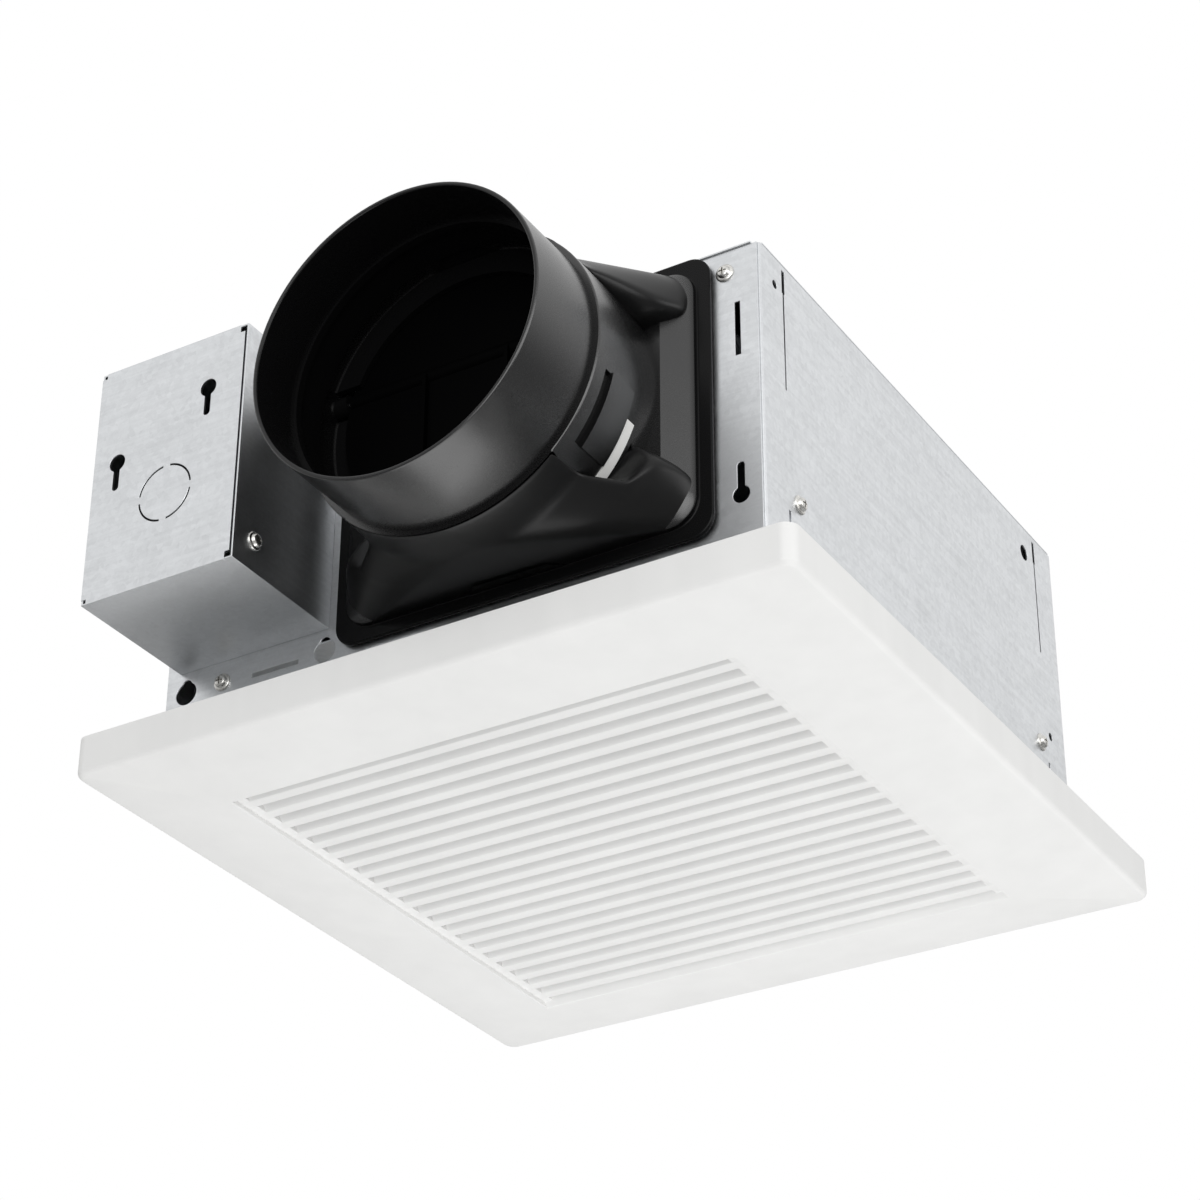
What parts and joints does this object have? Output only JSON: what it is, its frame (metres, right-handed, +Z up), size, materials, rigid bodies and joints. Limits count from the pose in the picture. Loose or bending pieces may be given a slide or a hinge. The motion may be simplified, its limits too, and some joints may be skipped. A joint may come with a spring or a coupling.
{
  "type": "bathroom exhaust fan",
  "caption": "Ceiling exhaust fan: sheet-steel housing with a wiring box, a round duct adapter with a damper, a blower inside, and a louvred grille on springs.",
  "frame": {"origin": "centre of the rectangle of the ceiling flange's four screw holes, at the ceiling", "axes": "+Z up into the ceiling, -Y towards the duct, +X to the right seen from the duct side"},
  "size_m": [0.381, 0.4605, 0.2072],
  "materials": {
    "galvanised_steel": "satin galvanised sheet",
    "zinc_fastener": "bright zinc",
    "black_plastic": "satin moulded",
    "white_plastic": "satin moulded",
    "white_nylon": "satin",
    "foam": "closed-cell foam",
    "rubber": "matte",
    "motor_steel": "satin black",
    "core_steel": "laminated",
    "copper": "enamelled wire",
    "bright_steel": "ground",
    "spring_steel": "drawn wire",
    "capacitor_case": "moulded",
    "lead_sleeve": "braided sleeve"
  },
  "bodies": {
    "housing": {"top_panel": "galvanised_steel", "front_panel": "galvanised_steel", "rear_panel": "galvanised_steel", "left_panel": "galvanised_steel", "right_panel": "galvanised_steel", "left_spring_bracket": "galvanised_steel", "right_spring_bracket": "galvanised_steel", "wiring_box": "galvanised_steel", "wiring_box_cover": "galvanised_steel", "scroll_wall": "galvanised_steel", "scroll_top_plate": "galvanised_steel", "inlet_plate": "galvanised_steel", "blower_posts": "galvanised_steel", "capacitor_clip": "galvanised_steel", "housing_screws": "zinc_fastener", "post_screws": "zinc_fastener", "motor_screws": "zinc_fastener", "wiring_box_screws": "zinc_fastener", "ground_screw": "zinc_fastener", "wiring_box_rivets": "zinc_fastener", "duct_adapter": "black_plastic", "motor_plug": "black_plastic", "terminal_block": "black_plastic", "collar_catch": "white_nylon", "adapter_gasket": "foam", "motor_grommets": "rubber", "lead_bushings": "rubber", "motor_upper_shell": "motor_steel", "motor_lower_shell": "motor_steel", "stator_core": "core_steel", "stator_windings": "copper", "upper_bearing": "bright_steel", "lower_bearing": "bright_steel", "run_capacitor": "capacitor_case", "motor_lead": "lead_sleeve", "capacitor_lead": "lead_sleeve"},
    "wheel": {"wheel_back_plate": "black_plastic", "wheel_blades": "black_plastic", "wheel_end_ring": "black_plastic", "wheel_washer": "zinc_fastener", "wheel_nut": "zinc_fastener", "motor_shaft": "bright_steel", "rotor_core": "core_steel"},
    "damper": {"damper_flap": "black_plastic", "damper_pin": "bright_steel", "damper_seal": "foam"},
    "grille": {"grille": "white_plastic", "left_grille_spring": "spring_steel", "right_grille_spring": "spring_steel"}
  },
  "joints": [
    {"name": "wheel_spin", "type": "hinge", "parent": "housing", "child": "wheel", "pos_m": [-0.015, 0.018, 0.088], "axis": [0, 0, 1], "continuous": true},
    {"name": "damper_swing", "type": "hinge", "parent": "housing", "child": "damper", "pos_m": [0.039, -0.208, 0.12145], "axis": [-1, 0, 0], "range_deg": [0, 80]},
    {"name": "grille_drop", "type": "slide", "parent": "housing", "child": "grille", "axis": [0, 0, -1], "range_m": [0, 0.07], "stiffness_N_per_m": 90, "springref_m": -0.1, "deforming": ["left_grille_spring", "right_grille_spring"]}
  ]
}
